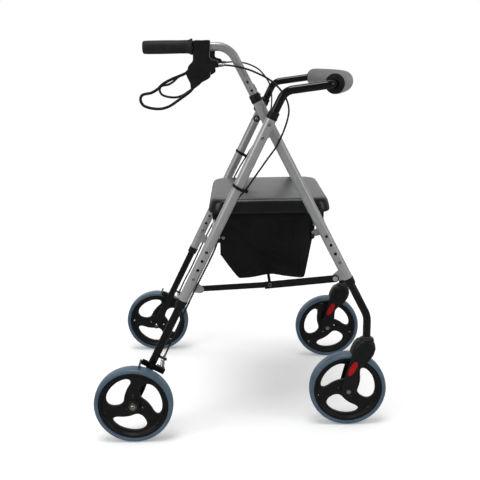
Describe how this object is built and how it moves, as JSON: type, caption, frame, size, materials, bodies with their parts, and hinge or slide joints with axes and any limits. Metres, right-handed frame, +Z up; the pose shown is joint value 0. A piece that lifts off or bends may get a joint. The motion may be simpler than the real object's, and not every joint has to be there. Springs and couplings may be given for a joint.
{
  "type": "walker",
  "caption": "Folding rollator walker: tube legs crossing at a pivot, padded seat over a bag, bowed foam backrest, loop brakes, fixed rear wheels and swivelling front casters.",
  "frame": {"origin": "on the floor, midway between the front and rear axles and between the sides", "axes": "+X towards the front casters, +Y towards the user's left, +Z up"},
  "size_m": [0.751, 0.643, 0.99],
  "materials": {
    "silver_tube": "satin silver-grey",
    "black_tube": "satin black powder coat",
    "black_plastic": "moulded satin black",
    "cable_sheath": "smooth black sheath",
    "steel": "zinc plated",
    "grip": "matte black",
    "tyre": "matte blue-grey",
    "foam": "open-cell grey foam",
    "vinyl": "padded black vinyl, soft sheen",
    "nylon": "woven black nylon"
  },
  "bodies": {
    "rear_frame": {"rear_leg_left": "silver_tube", "rear_leg_collar_left": "black_plastic", "backrest_collar_left": "black_plastic", "pivot_bolt_left": "steel", "stop_plate_left": "silver_tube", "brake_cable_left": "cable_sheath", "rear_leg_right": "silver_tube", "rear_leg_collar_right": "black_plastic", "backrest_collar_right": "black_plastic", "pivot_bolt_right": "steel", "stop_plate_right": "silver_tube", "brake_cable_right": "cable_sheath", "rear_cross_tube": "silver_tube", "backrest_bar": "black_tube", "backrest_pad": "foam", "bag": "nylon"},
    "front_frame": {"front_leg_left": "silver_tube", "front_leg_collar_left": "black_plastic", "handle_collar_left": "black_plastic", "front_leg_right": "silver_tube", "front_leg_collar_right": "black_plastic", "handle_collar_right": "black_plastic", "front_cross_tube": "silver_tube"},
    "rear_braces": {"brace_rear_left": "black_tube", "brace_rear_right": "black_tube", "fold_pull_bar": "black_tube"},
    "front_braces": {"brace_front_left": "black_tube", "brace_front_right": "black_tube"},
    "seat": {"seat_board": "black_plastic", "seat_cushion": "vinyl"},
    "handle_left": {"handle_tube_left": "silver_tube", "grip_left": "grip", "brake_housing_left": "black_plastic"},
    "lever_left": {"brake_lever_left": "black_plastic"},
    "knob_left": {"handle_knob_left": "black_plastic"},
    "rear_lower_left": {"rear_lower_leg_left": "black_tube", "rear_axle_left": "steel"},
    "brake_arm_left": {"brake_arm_left": "black_tube"},
    "rear_wheel_left": {"rear_rim_left": "black_plastic", "rear_tyre_left": "tyre"},
    "front_lower_left": {"front_lower_leg_left": "black_tube"},
    "caster_left": {"caster_fork_left": "black_plastic", "front_axle_left": "steel"},
    "front_wheel_left": {"front_rim_left": "black_plastic", "front_tyre_left": "tyre"},
    "handle_right": {"handle_tube_right": "silver_tube", "grip_right": "grip", "brake_housing_right": "black_plastic"},
    "lever_right": {"brake_lever_right": "black_plastic"},
    "knob_right": {"handle_knob_right": "black_plastic"},
    "rear_lower_right": {"rear_lower_leg_right": "black_tube", "rear_axle_right": "steel"},
    "brake_arm_right": {"brake_arm_right": "black_tube"},
    "rear_wheel_right": {"rear_rim_right": "black_plastic", "rear_tyre_right": "tyre"},
    "front_lower_right": {"front_lower_leg_right": "black_tube"},
    "caster_right": {"caster_fork_right": "black_plastic", "front_axle_right": "steel"},
    "front_wheel_right": {"front_rim_right": "black_plastic", "front_tyre_right": "tyre"}
  },
  "joints": [
    {"name": "fold", "type": "hinge", "parent": "rear_frame", "child": "front_frame", "pos_m": [0.0715, 0, 0.793], "axis": [0, 1, 0], "range_deg": [0, 34], "deforming": ["bag", "brake_cable_left", "brake_cable_right"]},
    {"name": "rear_brace_turn", "type": "hinge", "parent": "rear_frame", "child": "rear_braces", "pos_m": [-0.10203, 0, 0.38278], "axis": [0, 1, 0], "range_deg": [-62.5, 0]},
    {"name": "front_brace_turn", "type": "hinge", "parent": "front_frame", "child": "front_braces", "pos_m": [0.23656, 0, 0.40466], "axis": [0, 1, 0], "range_deg": [0, 54.1]},
    {"name": "seat_flip", "type": "hinge", "parent": "front_frame", "child": "seat", "pos_m": [0.20645, 0, 0.527], "axis": [0, 1, 0], "range_deg": [0, 85]},
    {"name": "handle_height_left", "type": "slide", "parent": "front_frame", "child": "handle_left", "axis": [-0.4524, 0, 0.8918], "range_m": [-0.066, 0.044], "deforming": ["brake_cable_left"]},
    {"name": "brake_squeeze_left", "type": "hinge", "parent": "handle_left", "child": "lever_left", "pos_m": [-0.093, 0.225, 0.903], "axis": [0, 1, 0], "range_deg": [0, 18], "stiffness_Nm_per_rad": 1.2, "deforming": ["brake_cable_left"]},
    {"name": "handle_lock_left", "type": "hinge", "parent": "front_frame", "child": "knob_left", "pos_m": [0.05259, 0.225, 0.83028], "axis": [0, 1, 0], "continuous": true},
    {"name": "rear_leg_height_left", "type": "slide", "parent": "rear_frame", "child": "rear_lower_left", "axis": [0.4477, 0, 0.8942], "range_m": [0, 0.0762], "deforming": ["brake_cable_left"]},
    {"name": "brake_press_left", "type": "hinge", "parent": "rear_lower_left", "child": "brake_arm_left", "pos_m": [-0.23193, 0.255, 0.18702], "axis": [0, 1, 0], "range_deg": [-5.5, 0], "deforming": ["brake_cable_left"]},
    {"name": "rear_wheel_spin_left", "type": "hinge", "parent": "rear_lower_left", "child": "rear_wheel_left", "pos_m": [-0.2755, 0.2985, 0.1], "axis": [0, 1, 0], "continuous": true},
    {"name": "front_leg_height_left", "type": "slide", "parent": "front_frame", "child": "front_lower_left", "axis": [-0.4524, 0, 0.8918], "range_m": [0, 0.0762]},
    {"name": "caster_swivel_left", "type": "hinge", "parent": "front_lower_left", "child": "caster_left", "pos_m": [0.3223, 0.225, 0.26], "axis": [0, 0, 1], "continuous": true},
    {"name": "front_wheel_spin_left", "type": "hinge", "parent": "caster_left", "child": "front_wheel_left", "pos_m": [0.2755, 0.225, 0.1], "axis": [0, 1, 0], "continuous": true},
    {"name": "handle_height_right", "type": "slide", "parent": "front_frame", "child": "handle_right", "axis": [-0.4524, 0, 0.8918], "range_m": [-0.066, 0.044], "deforming": ["brake_cable_right"]},
    {"name": "brake_squeeze_right", "type": "hinge", "parent": "handle_right", "child": "lever_right", "pos_m": [-0.093, -0.225, 0.903], "axis": [0, 1, 0], "range_deg": [0, 18], "stiffness_Nm_per_rad": 1.2, "deforming": ["brake_cable_right"]},
    {"name": "handle_lock_right", "type": "hinge", "parent": "front_frame", "child": "knob_right", "pos_m": [0.05259, -0.225, 0.83028], "axis": [0, 1, 0], "continuous": true},
    {"name": "rear_leg_height_right", "type": "slide", "parent": "rear_frame", "child": "rear_lower_right", "axis": [0.4477, 0, 0.8942], "range_m": [0, 0.0762], "deforming": ["brake_cable_right"]},
    {"name": "brake_press_right", "type": "hinge", "parent": "rear_lower_right", "child": "brake_arm_right", "pos_m": [-0.23193, -0.255, 0.18702], "axis": [0, 1, 0], "range_deg": [-5.5, 0], "deforming": ["brake_cable_right"]},
    {"name": "rear_wheel_spin_right", "type": "hinge", "parent": "rear_lower_right", "child": "rear_wheel_right", "pos_m": [-0.2755, -0.2985, 0.1], "axis": [0, 1, 0], "continuous": true},
    {"name": "front_leg_height_right", "type": "slide", "parent": "front_frame", "child": "front_lower_right", "axis": [-0.4524, 0, 0.8918], "range_m": [0, 0.0762]},
    {"name": "caster_swivel_right", "type": "hinge", "parent": "front_lower_right", "child": "caster_right", "pos_m": [0.3223, -0.225, 0.26], "axis": [0, 0, 1], "continuous": true},
    {"name": "front_wheel_spin_right", "type": "hinge", "parent": "caster_right", "child": "front_wheel_right", "pos_m": [0.2755, -0.225, 0.1], "axis": [0, 1, 0], "continuous": true}
  ],
  "couplings": [
    {"joint": "rear_brace_turn", "follows": "fold", "ratio": -1.8357},
    {"joint": "front_brace_turn", "follows": "fold", "ratio": 1.5872},
    {"joint": "brake_press_left", "follows": "brake_squeeze_left", "ratio": -0.305},
    {"joint": "brake_press_right", "follows": "brake_squeeze_right", "ratio": -0.305}
  ]
}
